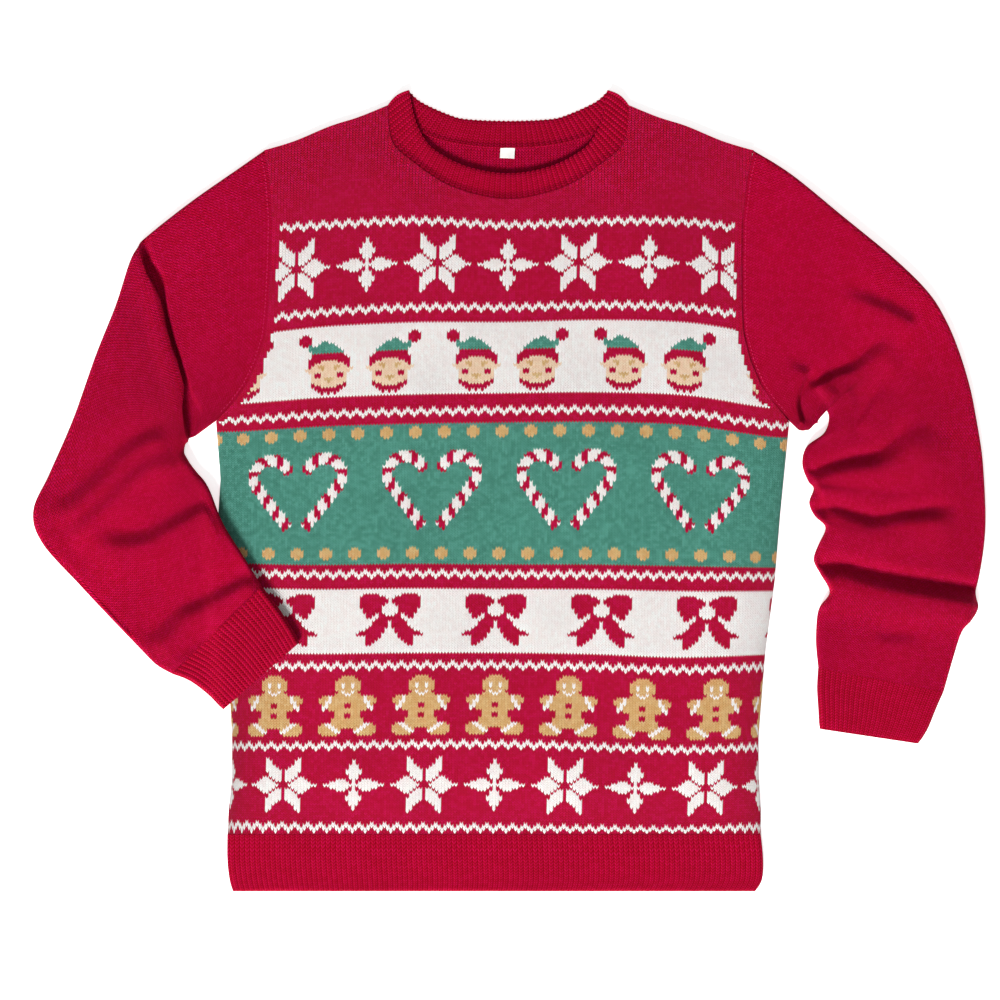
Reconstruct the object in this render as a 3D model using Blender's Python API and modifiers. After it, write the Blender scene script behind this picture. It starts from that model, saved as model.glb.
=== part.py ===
"""Crew-neck christmas sweater, knitted, laid flat with its front up.

The back panel lies on the surface and the front panel lies on the back panel. Both sleeves are
flattened tubes set into the armholes. The one at -X is bent at the elbow, so that its cuff lies
on the body; the one at +X hangs straight down beside the body.
Lengths in the tables are millimetres. +X is across the chest, +Y towards the neck, +Z up.
"""

import math

import bmesh
import bpy
from mathutils import Vector

MM = 0.001

WALL = 2.0  # stocking-stitch fabric
RIB_WALL = 2.4  # 1x1 rib is thicker
LABEL_WALL = 0.5
SEAM_GAP = 0.35  # between pieces that are linked edge to edge
BAND_SEAM_GAP = 0.9  # measured along the band's ribs, which run aslant to its seam
SLEEVE_SEAM_GAP = 0.45  # measured square to the seam's straight line, which an armhole leaves
LAYER_GAP = 0.4  # between pieces that lie on each other
FRONT_BASE = WALL + LAYER_GAP
FRONT_RISE = 2.0  # how far the front bellies up in the middle
BAND_BASE = RIB_WALL + 0.55  # the front neckband lies on the ends of the back one
BAND_CROWN = 0.8
SLEEVE_REST = 6.2  # height of the bent sleeve's underside where it lies on the body
SLEEVE_CLIMB = 16.0  # it climbs onto the body over this width
SLEEVE_CLEAR = 3.0  # and is up this far before the body's edge
CLIMB_TOP = 45.0  # nothing climbs above this y, where the same sleeve is set into the armhole
CLIMB_LENGTH = 30.0

PANEL_COLUMNS = 24
SIDE_ROWS = 10
ARMHOLE_ROWS = 10
PANEL_ROWS = SIDE_ROWS + ARMHOLE_ROWS
SHOULDER_COLUMNS = 4
NECK_SHARE = SHOULDER_COLUMNS / PANEL_COLUMNS  # the neck corners' place along a panel's top edge
EVENING_PASSES = 30  # they even out a panel's inner points, which crowd at the neck corners
ARMHOLE_SHARE = SIDE_ROWS / PANEL_ROWS  # the underarm's place along a panel's side
RIB_COLUMNS = 12
RIB_ROWS = 3
BAND_STEPS = PANEL_COLUMNS - 2 * SHOULDER_COLUMNS  # so that bands and panels share their seam's points
BAND_ROWS = 3
FLAT_STEPS = ARMHOLE_ROWS  # across the top or bottom of a flattened sleeve
EDGE_STEPS = 3  # round its folded edges
TUBE_STEPS = 2  # along a sleeve, between two sections of its table
MERGE = 0.00005

HEM_RIB_TOP = -300.0
NECK_CENTRE = -1.0

# Side edges of the body, from the top of the hem rib to the underarm: y, x at -X side, x at +X side
BODY_SIDES = (
    (-300, -247, 220),
    (-280, -246, 220),
    (-250, -243, 218),
    (-215, -243, 218),
    (-140, -247, 224),
    (-80, -251, 232),
    (-20, -255, 237),
    (10, -253, 240),
    (61, -257, 245),
)

# The hem rib, from its bottom edge up: y in the middle, x at -X side, x at +X side
HEM_RIB = (
    (-350.4, -242, 215),
    (-340, -245, 221),
    (-322, -247, 222),
    (HEM_RIB_TOP, -247, 220),
)

# Shoulder, from its tip to the neck: distance from the centre, y
SHOULDER = ((213.5, 298), (187, 306), (156, 319), (131, 327), (105.5, 337.4))

# Neck edges, from the shoulder to the centre: distance from the centre, y
FRONT_NECK_SEAM = ((105.5, 337.4), (101, 305), (78.5, 284), (53, 267.5), (24, 258), (0, 255))
FRONT_NECK_EDGE = ((86.5, 350.4), (82, 328), (75.5, 312), (63.5, 298), (36, 284), (0, 278))
BACK_NECK_SEAM = ((105.5, 337.4), (90, 322), (64, 310), (35, 303.5), (0, 301.5))
BACK_NECK_EDGE = ((86.5, 350.4), (76, 341), (52, 330), (36, 326), (0, 324.5))

# How far an armhole bends in from the straight line between shoulder tip and underarm:
# share of the way down, share of its greatest depth
ARMHOLE_CURVE = (
    (0, 0),
    (0.10, 0.30),
    (0.25, 0.60),
    (0.40, 0.78),
    (0.55, 0.93),
    (0.66, 1.0),
    (0.76, 0.90),
    (0.85, 0.70),
    (0.92, 0.42),
    (1, 0),
)

# Sleeve sections, from the armhole to the rib: outer edge x, y; inner edge x, y;
# bend towards the body; height at the outer edge, height at the inner edge
BENT_SLEEVE = (
    (-214.5, 298, -257, 61, 30, 5.0, 5.0),
    (-236, 283, -260, 59, 22, 6.5, 6.0),
    (-280, 252, -268, 53, 10, 8.5, 7.0),
    (-318, 222, -275, 48, 3, 9.0, 6.5),
    (-326, 213, -279, 45, 0, 7.0, 6.0),
    (-332, 200, -281, 43, 0, 12.5, 12.5),
    (-344, 163, -283, 41, -3, 12.0, 13.0),
    (-362, 118, -284, 37, -4, 11.0, 13.0),
    (-382, 62, -284, 33, -3, 10.0, 13.0),
    (-403, 14, -282, 29, 0, 9.0, 12.5),
    (-416.6, -17, -279, 24, 0, 9.0, 12.0),
    (-409, -45, -273, 16, 0, 9.0, 10.0),
    (-375, -83, -266, 8, 0, 9.0, 9.0),
    (-344, -116, -260, -3, 0, 9.0, 8.0),
    (-322, -139, -250, -28, 0, 8.5, 8.5),
    (-309, -152, -234, -54, 0, 8.0, 8.5),
    (-295, -160, -216, -83, 0, 8.0, 8.0),
)
BENT_CUFF = (
    (-295, -160, -216, -83, 0, 8.0, 8.0),
    (-280, -166, -203, -100, 0, 8.0, 8.0),
    (-265, -177, -192, -116, 0, 8.0, 8.0),
    (-250, -191, -183, -132, 0, 7.5, 7.5),
)
STRAIGHT_SLEEVE = (
    (213.5, 298, 245, 61, -30, 5.0, 5.0),
    (247, 277, 250, 56, -22, 6.5, 6.0),
    (291, 241, 254, 53, -8, 8.5, 7.5),
    (337, 203, 259, 53, 0, 9.0, 8.5),
    (367, 173, 263, 55, 0, 9.5, 10.0),
    (385, 144, 267, 62, 0, 9.0, 8.0),
    (395, 117, 271, 70, 0, 9.5, 7.0),
    (404, 87, 274, 62, 0, 9.5, 10.0),
    (410, 55, 267, 46, 0, 9.0, 10.0),
    (414, 25, 258, 34, 0, 9.0, 8.0),
    (416, -4, 259, 14, 0, 9.5, 10.0),
    (416.3, -30, 267, -8, 0, 8.5, 8.0),
    (413, -60, 273, -29, 0, 9.5, 10.5),
    (408, -87, 267, -53, 0, 8.0, 8.0),
    (410, -102, 274, -84, 0, 10.0, 10.0),
    (397, -119, 270, -105, 0, 8.5, 8.5),
    (389, -143, 268, -130, 0, 8.5, 8.5),
    (380, -175, 270, -154, 0, 8.0, 8.0),
)
STRAIGHT_CUFF = (
    (380, -175, 270, -154, 0, 8.0, 8.0),
    (373, -191, 269, -172, 0, 8.0, 8.0),
    (366, -208, 270, -190, 0, 8.0, 8.0),
    (358, -221, 271, -208, 0, 7.5, 7.5),
)

LABEL_CENTRE = (-3, 296.4)
LABEL_SIZE = (14, 10)


def smoothstep(value):
    value = min(max(value, 0.0), 1.0)
    return value * value * (3 - 2 * value)


def smooth_row(table, place):
    """The row at a place between rows 0 and len - 1 of a table, on a Catmull-Rom curve."""
    first = min(int(place), len(table) - 2)
    t = place - first
    rows = [table[min(max(first + k, 0), len(table) - 1)] for k in (-1, 0, 1, 2)]
    return [
        0.5 * (2 * b + (c - a) * t + (2 * a - 5 * b + 4 * c - d) * t**2 + (3 * b - a - 3 * c + d) * t**3)
        for a, b, c, d in zip(*rows)
    ]


def smooth_path(points, steps=8):
    """A smooth curve through a few points, as a dense list of 2D vectors."""
    count = (len(points) - 1) * steps
    return [Vector(smooth_row(points, k / steps)) for k in range(count + 1)]


def along(path, share):
    """The point at a share of a path's length."""
    lengths = [(b - a).length for a, b in zip(path, path[1:])]
    left = share * sum(lengths)
    for start, end, length in zip(path, path[1:], lengths):
        if left <= length:
            return start.lerp(end, left / length)
        left -= length
    return path[-1]


def read_table(table, key):
    """Straight-line reading of a table of (key, value) pairs, sorted by key."""
    for (k0, v0), (k1, v1) in zip(table, table[1:]):
        if key <= k1:
            return v0 + (v1 - v0) * (max(key, k0) - k0) / (k1 - k0)
    return table[-1][1]


def mirrored(half):
    """A whole neck edge, from -X to +X, from its half table."""
    left = [(NECK_CENTRE - x, y) for x, y in half]
    right = [(NECK_CENTRE + x, y) for x, y in reversed(half[:-1])]
    return left + right


def across_section(station, share):
    """The point of a sleeve section at a share of the way from its outer to its inner edge."""
    outer, inner, bend = Vector(station[0:2]), Vector(station[2:4]), station[4]
    run = inner - outer
    normal = Vector((-run.y, run.x)).normalized()
    return outer + run * share + normal * bend * read_table(ARMHOLE_CURVE, share)


def body_edge(y):
    """x of the body's edge at the -X side."""
    return read_table([(row[0], row[1]) for row in BODY_SIDES], y)


def climb(x, y):
    """Height that the bent sleeve's underside has gained at a point, where it climbs onto the body."""
    inside = x - body_edge(y)
    rise = smoothstep((inside + SLEEVE_CLEAR + SLEEVE_CLIMB) / SLEEVE_CLIMB)
    return SLEEVE_REST * rise * smoothstep((CLIMB_TOP - y) / CLIMB_LENGTH)


def new_object(name, bm, colour, roughness):
    """Links a mesh to the sweater's collection with its own yarn material."""
    mesh = bpy.data.meshes.new(name)
    bm.to_mesh(mesh)
    bm.free()
    mesh.shade_smooth()
    mesh.set_sharp_from_angle(angle=math.radians(50))
    material = bpy.data.materials.new(name + "_yarn")
    material.use_nodes = True
    surface = material.node_tree.nodes["Principled BSDF"]
    surface.inputs["Base Color"].default_value = (*colour, 1)
    surface.inputs["Roughness"].default_value = roughness
    surface.inputs["Metallic"].default_value = 0
    mesh.materials.append(material)
    made = bpy.data.objects.new(name, mesh)
    sweater.objects.link(made)
    return made


def warped_grid(columns, rows, place):
    """A grid whose points go to place(u, v), in millimetres, u and v being 0 to 1."""
    bm = bmesh.new()
    bmesh.ops.create_grid(bm, x_segments=columns, y_segments=rows, size=0.5)
    for vert in bm.verts:
        vert.co = Vector(place(vert.co.x + 0.5, vert.co.y + 0.5)) * MM
    return bm


def thicken(piece, wall):
    """Gives a sheet its wall, upwards from the modelled face."""
    solid = piece.modifiers.new("wall", "SOLIDIFY")
    solid.thickness = wall * MM
    solid.offset = 1
    solid.use_even_offset = False


def panel_outline(neck_half):
    """The four edges of a body panel, each a function of a share from 0 to 1."""
    shoulder = smooth_path(SHOULDER)
    neck = smooth_path(mirrored(neck_half))
    sides = [smooth_path([(row[column], row[0]) for row in BODY_SIDES]) for column in (1, 2)]

    def side(number, v):
        sleeve = (BENT_SLEEVE, STRAIGHT_SLEEVE)[number][0]
        if v <= ARMHOLE_SHARE:
            return along(sides[number], v / ARMHOLE_SHARE)
        return across_section(sleeve, 1 - (v - ARMHOLE_SHARE) / (1 - ARMHOLE_SHARE))

    def top(u):
        if u < NECK_SHARE:
            point = along(shoulder, u / NECK_SHARE)
            return Vector((NECK_CENTRE - point.x, point.y))
        if u > 1 - NECK_SHARE:
            point = along(shoulder, (1 - u) / NECK_SHARE)
            return Vector((NECK_CENTRE + point.x, point.y))
        return along(neck, (u - NECK_SHARE) / (1 - 2 * NECK_SHARE))

    def bottom(u):
        return side(0, 0).lerp(side(1, 0), u)

    return side, top, bottom


def make_panel(name, neck_half, height, colour):
    """A front or back: a patch spanned between its side, top and bottom edges."""
    side, top, bottom = panel_outline(neck_half)

    def place(u, v):
        left, right = side(0, v), side(1, v)
        between_sides = left.lerp(right, u)
        between_ends = bottom(u).lerp(top(u), v)
        corners = bottom(0).lerp(bottom(1), u).lerp(top(0).lerp(top(1), u), v)
        point = between_sides + between_ends - corners
        return point.x, point.y, height(u, v, point.y)

    bm = warped_grid(PANEL_COLUMNS, PANEL_ROWS, place)
    inner = [vert for vert in bm.verts if not vert.is_boundary]
    for _ in range(EVENING_PASSES):
        bmesh.ops.smooth_vert(bm, verts=inner, factor=0.5, use_axis_x=True, use_axis_y=True)
    thicken(new_object(name, bm, colour, 0.85), WALL)


def front_height(u, v, y):
    """The front bellies softly, less under the bent sleeve, and keeps one crease from storage."""
    belly = smoothstep(u / 0.3) * smoothstep((1 - u) / 0.12)
    belly *= smoothstep(v / 0.1) * smoothstep((1 - v) / 0.1)
    crease = 0.35 * math.exp(-(((y - 3) / 14) ** 2))
    return FRONT_BASE + FRONT_RISE * belly * (1 - crease)


def make_hem_rib(name, base, colour):
    """A strip of 1x1 rib that draws the bottom edge of a panel in."""

    def place(u, v):
        y, left, right = smooth_row(HEM_RIB, v * (len(HEM_RIB) - 1))
        return left + (right - left) * u, y - SEAM_GAP * v, base

    bm = warped_grid(RIB_COLUMNS, RIB_ROWS, place)
    thicken(new_object(name, bm, colour, 0.9), RIB_WALL)


def make_neckband(name, seam_half, edge_half, base, crown, colour):
    """Half of the ribbed neckband, from shoulder to shoulder, between its seam and its free edge."""
    seam = smooth_path(mirrored(seam_half))
    edge = smooth_path(mirrored(edge_half))

    def place(u, v):
        start, end = along(seam, u), along(edge, u)
        start = start + (end - start).normalized() * BAND_SEAM_GAP
        point = start.lerp(end, v)
        return point.x, point.y, base + crown * math.sin(math.pi * v) ** 2 * math.sin(math.pi * u)

    bm = warped_grid(BAND_STEPS, BAND_ROWS, place)
    thicken(new_object(name, bm, colour, 0.9), RIB_WALL)


def ring_point(station, step, inset):
    """A point of a flattened sleeve's section, inset millimetres inside its outer face."""
    outer, inner = Vector(station[0:2]), Vector(station[2:4])
    width = (inner - outer).length
    radii = (station[5] / 2, station[6] / 2)
    steps = (FLAT_STEPS, EDGE_STEPS, FLAT_STEPS, EDGE_STEPS)
    part = 0
    while step >= steps[part] and part < 3:
        step -= steps[part]
        part += 1
    share = step / steps[part]
    if part in (0, 2):  # over the top to the inner edge, or back along the bottom
        share = share if part == 0 else 1 - share
        distance = radii[0] + (width - radii[0] - radii[1]) * share
        height = 2 * (radii[0] + (radii[1] - radii[0]) * share)
        z = height - inset if part == 0 else inset
    else:  # round the folded edge
        radius = radii[1] if part == 1 else radii[0]
        turn = math.pi * share
        reach = (radius - inset) * math.sin(turn)
        distance = width - radius + reach if part == 1 else radius - reach
        lift = (radius - inset) * math.cos(turn)
        z = radius + lift if part == 1 else radius - lift
    point = across_section(station, distance / width)
    return point.x, point.y, z


def make_tube(name, stations, wall, support, colour, roughness):
    """A flattened tube: its outer and its inner face are one grid, closed round both open ends."""
    first, second = stations[0], stations[1]
    across = Vector(first[2:4]) - Vector(first[0:2])
    onward = Vector((-across.y, across.x)).normalized()
    if onward.dot(Vector(second[0:2]) - Vector(first[0:2])) < 0:
        onward = -onward
    gap = onward * SLEEVE_SEAM_GAP
    clear = (first[0] + gap.x, first[1] + gap.y, first[2] + gap.x, first[3] + gap.y, *first[4:])
    table = (clear, *stations[1:])
    stations = [smooth_row(table, k / TUBE_STEPS) for k in range(TUBE_STEPS * (len(table) - 1) + 1)]
    around = 2 * (FLAT_STEPS + EDGE_STEPS)
    lines = 2 * len(stations)

    def place(u, v):
        line = round(v * lines) % lines
        inside = line >= len(stations)
        station = stations[lines - 1 - line] if inside else stations[line]
        x, y, z = ring_point(station, round(u * around) % around, wall if inside else 0)
        return x, y, z + support(x, y)

    bm = warped_grid(around, lines, place)
    bmesh.ops.remove_doubles(bm, verts=bm.verts, dist=MERGE)
    bmesh.ops.recalc_face_normals(bm, faces=bm.faces)
    new_object(name, bm, colour, roughness)


def make_label(colour):
    """The woven neck label, which hangs from the back neck seam."""

    def place(u, v):
        x = LABEL_CENTRE[0] + (u - 0.5) * LABEL_SIZE[0]
        y = LABEL_CENTRE[1] + (v - 0.5) * LABEL_SIZE[1]
        return x, y, WALL + LAYER_GAP

    thicken(new_object("neck_label", warped_grid(2, 2, place), colour, 0.6), LABEL_WALL)


for leftover in list(bpy.data.objects):
    bpy.data.objects.remove(leftover)
sweater = bpy.data.collections.new("christmas_sweater")
bpy.context.scene.collection.children.link(sweater)

RED = (0.44, 0.003, 0.032)
WHITE = (0.85, 0.83, 0.79)


def on_the_floor(x, y):
    return 0.0


make_panel("back_panel", BACK_NECK_SEAM, lambda u, v, y: 0.0, RED)
make_panel("front_panel", FRONT_NECK_SEAM, front_height, RED)
make_hem_rib("hem_rib_back", 0.0, RED)
make_hem_rib("hem_rib_front", RIB_WALL + LAYER_GAP, RED)
make_neckband("neckband_back", BACK_NECK_SEAM, BACK_NECK_EDGE, 0.0, 0.0, RED)
make_neckband("neckband_front", FRONT_NECK_SEAM, FRONT_NECK_EDGE, BAND_BASE, BAND_CROWN, RED)
make_tube("sleeve_bent", BENT_SLEEVE, WALL, climb, RED, 0.85)
make_tube("cuff_bent", BENT_CUFF, RIB_WALL, climb, RED, 0.9)
make_tube("sleeve_straight", STRAIGHT_SLEEVE, WALL, on_the_floor, RED, 0.85)
make_tube("cuff_straight", STRAIGHT_CUFF, RIB_WALL, on_the_floor, RED, 0.9)
make_label(WHITE)
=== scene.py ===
"""The finish of a crew-neck christmas sweater, knitted by machine in acrylic yarn and laid out flat.

Lengths in the tables are millimetres. +X is across the chest, +Y towards the neck, +Z up.
"""

import math

import bmesh
import bpy
from mathutils import Matrix, Vector
from mathutils.kdtree import KDTree


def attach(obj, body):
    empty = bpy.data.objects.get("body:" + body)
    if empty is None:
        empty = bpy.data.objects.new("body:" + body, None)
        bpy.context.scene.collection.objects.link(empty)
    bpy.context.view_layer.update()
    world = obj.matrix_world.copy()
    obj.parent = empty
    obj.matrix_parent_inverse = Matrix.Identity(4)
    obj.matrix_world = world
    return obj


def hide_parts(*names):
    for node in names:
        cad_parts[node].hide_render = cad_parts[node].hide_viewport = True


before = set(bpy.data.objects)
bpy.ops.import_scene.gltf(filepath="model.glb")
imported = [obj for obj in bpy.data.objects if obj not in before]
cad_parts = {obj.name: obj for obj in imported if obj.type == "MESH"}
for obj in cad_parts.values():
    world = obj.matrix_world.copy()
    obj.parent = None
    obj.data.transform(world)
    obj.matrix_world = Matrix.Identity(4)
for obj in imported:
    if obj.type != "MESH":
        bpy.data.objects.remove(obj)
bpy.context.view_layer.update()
MM = 0.001

# ---------------------------------------------------------------- Table, lamps and camera
# The sweater lies on a plain white light table and is seen from straight above. A soft lamp stands
# beyond its hem, so the knitting and the folds are shaded towards the neck; the room fills the rest.

VIEW_WIDTH = 874.0
VIEW_CENTRE = (-8.3, -7.9)
CLOTH_TOP = 6.0  # the height at which the view is that wide
LENS = 85.0
SENSOR = 36.0


def lamp(name, place, aim, size, watts):
    light = bpy.data.lights.new(name, "AREA")
    light.shape = "DISK"
    light.size = size
    light.energy = watts
    holder = bpy.data.objects.new(name, light)
    holder.location = place
    holder.rotation_euler = (Vector(aim) - Vector(place)).to_track_quat("-Z", "Y").to_euler()
    bpy.context.scene.collection.objects.link(holder)


view = bpy.data.cameras.new("view")
view.lens = LENS
view.sensor_width = SENSOR
view.clip_end = 20
camera = bpy.data.objects.new("camera", view)
distance = VIEW_WIDTH * LENS / SENSOR + CLOTH_TOP
camera.location = Vector((*VIEW_CENTRE, distance)) * MM
bpy.context.scene.collection.objects.link(camera)
bpy.context.scene.camera = camera
bpy.context.scene.view_settings.view_transform = "Standard"

lamp("lamp_beyond_the_hem", (-1.5, -4.6, 3.2), (0, 0, 0), 1.9, 690)
lamp("lamp_overhead", (0.1, 0.3, 2.6), (0, 0, 0), 2.2, 4)

room = bpy.data.worlds.new("room")
room.use_nodes = True
room.node_tree.nodes["Background"].inputs["Color"].default_value = (1, 1, 1, 1)
room.node_tree.nodes["Background"].inputs["Strength"].default_value = 0.35
bpy.context.scene.world = room


def fill(node, **inputs):
    """Links or fills a node's inputs, by name or by number; a node stands for its first output."""
    for name, value in inputs.items():
        socket = node.inputs[int(name[1:])] if name[0] == "_" else node.inputs[name.replace("_", " ")]
        if isinstance(value, bpy.types.Node):
            value = value.outputs[0]
        if isinstance(value, bpy.types.NodeSocket):
            node.id_data.links.new(value, socket)
        else:
            socket.default_value = value


def add_node(tree, kind, settings=None, **inputs):
    """Adds a shader node of a kind, sets its properties and fills its inputs."""
    node = tree.nodes.new("ShaderNode" + kind)
    for name, value in (settings or {}).items():
        setattr(node, name, value)
    fill(node, **inputs)
    return node


def colour_of(hex_code):
    """A colour from its sRGB hex code, as the linear values that shaders take."""
    values = [int(hex_code[k : k + 2], 16) / 255 for k in (0, 2, 4)]
    return [v / 12.92 if v <= 0.04045 else ((v + 0.055) / 1.055) ** 2.4 for v in values] + [1.0]


def new_material(name):
    """A new material and its surface node."""
    material = bpy.data.materials.new(name)
    material.use_nodes = True
    return material, material.node_tree.nodes["Principled BSDF"]


def put_in_scene(name, bm, material):
    """Makes a modelled shape an object at the origin, of one material."""
    mesh = bpy.data.meshes.new(name)
    bm.to_mesh(mesh)
    bm.free()
    mesh.materials.append(material)
    piece = bpy.data.objects.new(name, mesh)
    bpy.context.scene.collection.objects.link(piece)
    return piece


TABLE_HALF = 3.0  # half its width, in metres
TABLE_DROP = 0.4  # how far it lies below the sweater's lowest points


def table_top():
    """Opal acrylic lit from below: a matt white that leaves little of the shade round the sweater."""
    material, surface = new_material("opal_acrylic_lit_from_below")
    fill(surface, Base_Color=colour_of("FCFCFB"), Roughness=0.9, Specular_IOR_Level=0.1)
    fill(surface, Emission_Color=(1, 1, 1, 1), Emission_Strength=0.6)
    bm = bmesh.new()
    bmesh.ops.create_grid(bm, x_segments=1, y_segments=1, size=TABLE_HALF)
    top = put_in_scene("table_top", bm, material)
    top.location.z = -TABLE_DROP * MM
    return top


table_top()

# ---------------------------------------------------------------- Back panel
# One piece of plain stocking stitch in red acrylic, knitted on a 9-gauge flat machine with its
# smooth side out, which lies on the table. It is linked to the front at the sides and shoulders.

WALE = 2.80  # one stitch across
COURSE = 2.14  # one row of stitches up
WALL = 1.6
STITCHES = 181
ROWS = 300

NECK_CENTRE = -1.0
UNDERARM = 61.0

# Side edges of the body, from the top of the hem rib to the underarm: y, x at -X side, x at +X side
BODY_SIDES = (
    (-300, -247, 220),
    (-280, -246, 220),
    (-250, -243, 218),
    (-215, -243, 218),
    (-140, -247, 224),
    (-80, -251, 232),
    (-20, -255, 237),
    (10, -253, 240),
    (61, -257, 245),
)
# Shoulder, from its tip to the neck: distance from the centre, y
SHOULDER = ((213.5, 298), (187, 306), (156, 319), (131, 327), (105.5, 337.4))
BACK_NECK_SEAM = ((105.5, 337.4), (90, 322), (64, 310), (35, 303.5), (0, 301.5))
# The straight line that an armhole bends in from: tip x, y; underarm x, y; its depth
ARMHOLES = ((-214.5, 298, -257, 61, 30), (213.5, 298, 245, 61, -30))
# How far it bends in: share of the way down, share of the depth
ARMHOLE_CURVE = (
    (0, 0),
    (0.10, 0.30),
    (0.25, 0.60),
    (0.40, 0.78),
    (0.55, 0.93),
    (0.66, 1.0),
    (0.76, 0.90),
    (0.85, 0.70),
    (0.92, 0.42),
    (1, 0),
)
# Where the rows of stitches lie: row, then y at seven places from 240 mm at -X of the middle
# stitch to 240 mm at +X of it
ROW_HEIGHTS = (
    (0, -300, -300, -300, -300, -300, -300, -300),
    (3, -291, -292.6, -292.9, -293.4, -294.6, -295.4, -292.8),
    (37, -222.2, -222, -220.5, -220.1, -222.3, -225.3, -222.9),
    (69, -151.2, -152.1, -151.2, -151, -152.3, -155.4, -152.5),
    (106, -70.4, -72, -71, -71.7, -71.8, -73.2, -73.9),
    (173, 62.6, 67.7, 70.3, 71.6, 72.2, 69.3, 57.7),
    (215, 148.6, 157.3, 161.5, 161.5, 163.5, 161.2, 149.5),
    (249, 228.5, 233.8, 237.4, 233.4, 236.9, 235.7, 225.5),
    (300, 337.6, 342.9, 346.5, 342.5, 346, 344.8, 334.6),
)
ROW_PLACE = 80.0
EVEN_STITCHES = 70  # nearer the sides than this many stitches, the hem rib draws the knitting in
EDGE_ROUND = 6.0  # the panels round over this width to meet at the side seams
SIDE_SEAM_HEIGHT = 2.1
SEAM_GAP = 0.15
RIM_ANGLE = 55  # sharper edges than this many degrees stay sharp: the cut edges of the cloth


def smoothstep(value):
    value = min(max(value, 0.0), 1.0)
    return value * value * (3 - 2 * value)


def smooth_row(table, place):
    """The row at a place between rows 0 and len - 1 of a table, on a Catmull-Rom curve."""
    first = min(int(place), len(table) - 2)
    t = place - first
    rows = [table[min(max(first + k, 0), len(table) - 1)] for k in (-1, 0, 1, 2)]
    return [
        0.5 * (2 * b + (c - a) * t + (2 * a - 5 * b + 4 * c - d) * t**2 + (3 * b - a - 3 * c + d) * t**3)
        for a, b, c, d in zip(*rows)
    ]


def smooth_path(points, steps=8):
    """A smooth curve through a few points, as a dense list of 2D vectors."""
    count = (len(points) - 1) * steps
    return [Vector(smooth_row(points, k / steps)) for k in range(count + 1)]


def evened(path):
    """The same path with its points about 1 mm apart."""
    points = [path[0]]
    for start, end in zip(path, path[1:]):
        count = max(1, round((end - start).length))
        points += [start.lerp(end, k / count) for k in range(1, count + 1)]
    return points


def along(path, share):
    """The point at a share of a path's length."""
    lengths = [(b - a).length for a, b in zip(path, path[1:])]
    left = share * sum(lengths)
    for start, end, length in zip(path, path[1:], lengths):
        if left <= length:
            return start.lerp(end, left / length)
        left -= length
    return path[-1]


def read_table(table, key, column=1):
    """Straight-line reading of a table whose rows are sorted by their first value."""
    for low, high in zip(table, table[1:]):
        if key <= high[0]:
            share = (max(key, low[0]) - low[0]) / (high[0] - low[0])
            return low[column] + (high[column] - low[column]) * share
    return table[-1][column]


def mirrored(half):
    """A whole neck edge, from -X to +X, from its half table."""
    left = [(NECK_CENTRE - x, y) for x, y in half]
    right = [(NECK_CENTRE + x, y) for x, y in reversed(half[:-1])]
    return left + right


def across_section(station, share):
    """The point of an armhole or a sleeve section at a share of the way from its outer to its inner edge."""
    outer, inner, bend = Vector(station[0:2]), Vector(station[2:4]), station[4]
    run = inner - outer
    normal = Vector((-run.y, run.x)).normalized()
    return outer + run * share + normal * bend * read_table(ARMHOLE_CURVE, share)


def side_edges(y):
    """x of the body's two side edges; above the underarm they go straight on."""
    return read_table(BODY_SIDES, y, 1), read_table(BODY_SIDES, y, 2)


def middle_stitch(y):
    """x of the middle stitch: the body lies a little askew."""
    return -1.3 - (198.8 - y) * 0.02606


ROW_LINES = [(line[0], [(y,) for y in line[1:]]) for line in ROW_HEIGHTS]


def row_height(row, offset):
    """y of a row of stitches at a distance from the middle stitch."""
    place = min(max(offset / ROW_PLACE + 3, 0), 6)
    for (low, low_line), (high, high_line) in zip(ROW_LINES, ROW_LINES[1:]):
        if row <= high:
            start, end = smooth_row(low_line, place)[0], smooth_row(high_line, place)[0]
            return start + (end - start) * (row - low) / (high - low)


def stitch_place(stitch, row):
    """x and y of a stitch, counted from the middle one, in a row counted from the hem rib."""
    sign = 1 if stitch > 0 else -1
    even = EVEN_STITCHES * WALE
    offset, y = stitch * WALE, row_height(row, 0)
    for _ in range(2):
        if abs(stitch) > EVEN_STITCHES:
            reach = abs(side_edges(y)[sign > 0] - middle_stitch(y)) - even
            share = (abs(stitch) - EVEN_STITCHES) / (STITCHES / 2 - EVEN_STITCHES)
            power = (STITCHES / 2 - EVEN_STITCHES) * WALE / reach
            offset = sign * (even + reach * (1 - (1 - share) ** power))
        y = row_height(row, offset)
    return middle_stitch(y) + offset, y


def panel_outline(neck_half):
    """A panel's armholes, shoulders and neck, from one underarm over the neck to the other."""
    left = [across_section(ARMHOLES[0], 1 - k / 40) for k in range(41)]
    right = [across_section(ARMHOLES[1], k / 40) for k in range(41)]
    shoulder = smooth_path(SHOULDER)
    left_shoulder = [Vector((NECK_CENTRE - p.x, p.y)) for p in shoulder]
    right_shoulder = [Vector((NECK_CENTRE + p.x, p.y)) for p in reversed(shoulder)]
    neck = smooth_path(mirrored(neck_half))
    return evened(left + left_shoulder[1:] + neck[1:-1] + right_shoulder + right[1:])


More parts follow.
